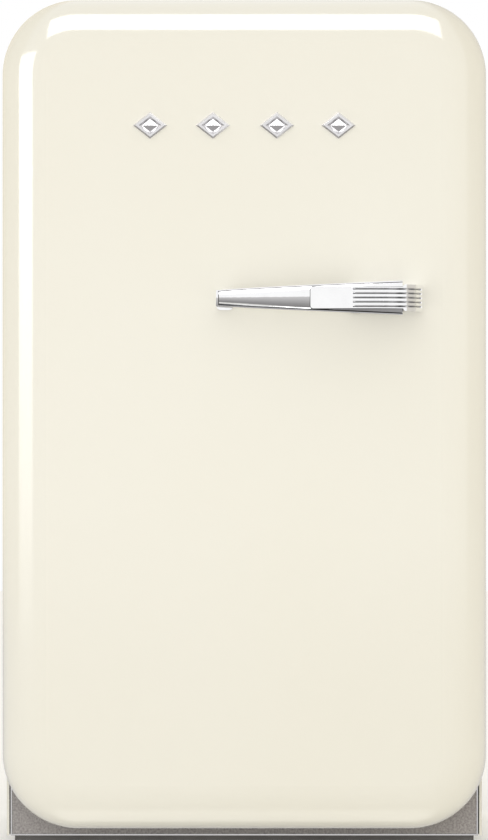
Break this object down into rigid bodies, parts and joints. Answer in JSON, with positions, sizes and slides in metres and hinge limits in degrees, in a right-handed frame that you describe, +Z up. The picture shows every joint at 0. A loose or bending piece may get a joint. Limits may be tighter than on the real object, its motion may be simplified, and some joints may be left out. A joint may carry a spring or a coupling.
{
  "type": "mini fridge",
  "caption": "Free-standing retro mini fridge with a rounded side-hinged door, a long lever handle, glass shelves, door bins and an absorption cooling unit behind.",
  "frame": {"origin": "centre of the bounding box's base, on the floor, with the door shut", "axes": "+Z up, -Y out of the door's face, +X to the right of someone facing the door"},
  "size_m": [0.404, 0.542, 0.715],
  "materials": {
    "cream_enamel": "glossy cream enamel",
    "white_abs": "white vacuum-formed liner",
    "foam": "rigid cream-yellow foam",
    "galvanised": "galvanised sheet",
    "grey_pan": "dark grey painted steel",
    "grey_grained": "grey grained plastic",
    "black_plastic": "black moulded plastic",
    "black_inlay": "black enamel let into the handle's chrome",
    "black_rubber": "black rubber",
    "bright_trim": "bright edging",
    "chrome": "polished chrome",
    "zinc": "zinc-plated steel",
    "white_plastic": "white moulded plastic",
    "opal": "opal diffuser",
    "board": "white circuit board",
    "aluminium": "brushed aluminium",
    "black_steel": "black painted steel tube",
    "nylon": "natural nylon",
    "seal": "soft light grey seal",
    "magnet": "bonded ferrite strip",
    "glass": "clear tempered glass",
    "clear_plastic": "clear moulded plastic",
    "brass": "nickel-plated brass blades",
    "hinge_grey": "plated steel"
  },
  "bodies": {
    "cabinet": {"cabinet_shell": "cream_enamel", "cabinet_liner": "white_abs", "cabinet_insulation": "foam", "bottom_rail": "cream_enamel", "floor_panel": "galvanised", "rear_panel": "galvanised", "base_pan": "grey_pan", "foot_inserts": "zinc", "rear_feet": "black_rubber", "kick_plate": "grey_grained", "kick_plate_trim": "bright_trim", "hinge_brackets": "hinge_grey", "hinge_screws": "zinc", "hinge_backing_plates": "zinc", "hinge_pins": "hinge_grey", "control_console": "white_plastic", "lamp_lens": "opal", "lamp_board": "board", "thermostat_body": "black_plastic", "cooling_plate": "aluminium", "drip_channel": "white_plastic", "drain_tube": "white_plastic", "condensate_tray": "black_plastic", "evaporator_pipe": "black_steel", "evaporator_plug": "foam", "boiler_casing": "galvanised", "rectifier_pipe": "black_steel", "condenser_pipe": "black_steel", "condenser_fins": "black_steel", "absorber_vessel": "black_steel", "absorber_coil": "black_steel", "boiler_feed": "black_steel", "unit_brackets": "zinc", "electrics_box": "black_plastic", "mains_inlet": "black_plastic", "inlet_pins": "brass", "wall_spacers": "black_plastic"},
    "door": {"door_shell": "cream_enamel", "door_liner": "white_abs", "door_insulation": "foam", "door_gasket": "seal", "gasket_magnets": "magnet", "hinge_blocks": "white_plastic", "hinge_bushes": "nylon", "handle_lever": "chrome", "handle_grip": "chrome", "handle_inlay": "black_inlay", "handle_feet": "chrome", "handle_screws": "zinc", "badge": "chrome"},
    "thermostat_knob": {"thermostat_knob": "white_plastic"},
    "front_foot_left": {"front_foot_left": "black_plastic"},
    "front_foot_right": {"front_foot_right": "black_plastic"},
    "lower_shelf": {"lower_shelf_glass": "glass", "lower_shelf_trims": "white_plastic"},
    "upper_shelf": {"upper_shelf_glass": "glass", "upper_shelf_trims": "white_plastic"},
    "bottle_bin": {"bottle_bin": "clear_plastic", "bin_rail_bottle": "chrome"},
    "upper_bin": {"upper_bin": "clear_plastic"}
  },
  "joints": [
    {"name": "door_hinge", "type": "hinge", "parent": "cabinet", "child": "door", "pos_m": [-0.189, -0.175, 0.369], "axis": [0, 0, -1], "range_deg": [0, 120]},
    {"name": "thermostat_turn", "type": "hinge", "parent": "cabinet", "child": "thermostat_knob", "pos_m": [0.042, -0.105, 0.637], "axis": [0, -1, 0], "range_deg": [0, 270]},
    {"name": "front_left_foot_screw", "type": "slide", "parent": "cabinet", "child": "front_foot_left", "axis": [0, 0, -1], "range_m": [0, 0.01]},
    {"name": "front_right_foot_screw", "type": "slide", "parent": "cabinet", "child": "front_foot_right", "axis": [0, 0, -1], "range_m": [0, 0.01]},
    {"name": "lower_shelf_slide", "type": "slide", "parent": "cabinet", "child": "lower_shelf", "axis": [0, -1, 0], "range_m": [0, 0.016]},
    {"name": "upper_shelf_slide", "type": "slide", "parent": "cabinet", "child": "upper_shelf", "axis": [0, -1, 0], "range_m": [0, 0.016]},
    {"name": "bottle_bin_lift", "type": "slide", "parent": "door", "child": "bottle_bin", "axis": [0, 0, 1], "range_m": [0, 0.018]},
    {"name": "upper_bin_lift", "type": "slide", "parent": "door", "child": "upper_bin", "axis": [0, 0, 1], "range_m": [0, 0.018]}
  ]
}
